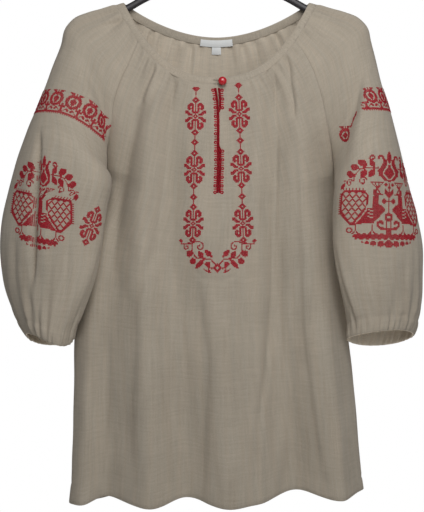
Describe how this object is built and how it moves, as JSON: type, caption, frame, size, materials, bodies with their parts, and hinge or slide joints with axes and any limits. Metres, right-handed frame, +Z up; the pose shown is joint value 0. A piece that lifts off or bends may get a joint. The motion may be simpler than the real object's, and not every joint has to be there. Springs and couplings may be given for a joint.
{
  "type": "vyshyvanka shirt on hanger",
  "caption": "Gathered linen peasant blouse with raglan puff sleeves, a scooped banded neck with a slit and ball button, hanging on a contoured clothes hanger.",
  "frame": {"origin": "inside top of the hanger's hook, where it hangs on a rod", "axes": "+X to the right seen from the front, -Y is the front of the blouse, +Z up"},
  "size_m": [0.6129, 0.1306, 0.852],
  "materials": {
    "linen": "matte plain weave of undyed slubby linen melange, with red cross-stitch embroidery on the front and sleeves",
    "red_cord": "red cotton thread",
    "red_gloss": "glossy red",
    "label_tape": "white woven tape, blank",
    "dark_plastic": "moulded, satin, near black",
    "hook_steel": "plated wire"
  },
  "bodies": {
    "root": {"front": "linen", "back": "linen", "sleeve_left": "linen", "sleeve_right": "linen", "neck_band": "linen", "slit_edging_left": "red_cord", "slit_edging_right": "red_cord", "button_loop": "linen", "button": "red_gloss", "neck_label": "label_tape", "size_label": "label_tape", "hanger": "dark_plastic", "hanger_hook": "hook_steel"}
  },
  "joints": []
}
